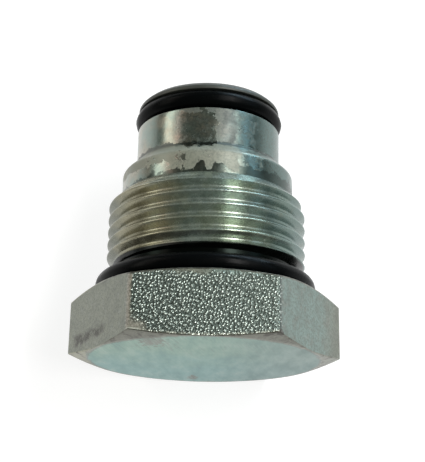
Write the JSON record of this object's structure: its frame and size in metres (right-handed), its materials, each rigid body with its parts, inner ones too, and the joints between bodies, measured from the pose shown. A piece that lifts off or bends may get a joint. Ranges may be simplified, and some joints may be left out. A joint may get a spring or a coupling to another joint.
{
  "type": "cartridge valve",
  "caption": "Screw-in check valve cartridge: closed hex cap with a thread, a stepped nose with seal rings, and a spring-loaded poppet in the nose bore.",
  "frame": {"origin": "centre of the flat outer face of the closed hex end, on the valve axis", "axes": "+Y along the valve axis towards the nose, +Z out of one wrench flat, +X to the right when the nose points away"},
  "size_m": [0.044, 0.0466, 0.0382],
  "materials": {
    "zinc_plated_steel": "bright zinc plating with olive and blue tints, dark smudges near the steps, coarse grain on one wrench flat",
    "seal_rubber": "smooth black nitrile rubber with a soft oily sheen",
    "bronze": "bored bearing bronze",
    "plain_steel": "ground steel with a film of oil",
    "spring_steel": "dark drawn spring wire",
    "hardened_steel": "fine ground and polished steel",
    "strainer_steel": "woven stainless strainer",
    "black_steel": "black oxide steel"
  },
  "bodies": {
    "housing": {"valve_body": "zinc_plated_steel", "head_o_ring": "seal_rubber", "nose_o_ring": "seal_rubber", "guide_bush": "bronze", "stop_washer": "plain_steel", "snap_ring": "spring_steel", "preload_shim_1": "plain_steel", "preload_shim_2": "plain_steel", "spring_seat": "plain_steel", "return_spring": "spring_steel"},
    "poppet": {"poppet": "hardened_steel", "strainer_disc": "strainer_steel", "thrust_washer": "plain_steel", "relief_spring": "spring_steel", "relief_shim": "plain_steel", "relief_cap": "black_steel"},
    "relief_ball": {"relief_ball": "hardened_steel", "ball_guide": "plain_steel"}
  },
  "joints": [
    {"name": "poppet_slide", "type": "slide", "parent": "housing", "child": "poppet", "axis": [0, -1, 0], "range_m": [0, 0.0048], "stiffness_N_per_m": 900, "springref_m": -0.004, "deforming": ["return_spring"]},
    {"name": "relief_ball_slide", "type": "slide", "parent": "poppet", "child": "relief_ball", "axis": [0, 1, 0], "range_m": [0, 0.0006], "stiffness_N_per_m": 3000, "springref_m": -0.0005, "deforming": ["relief_spring"]}
  ]
}
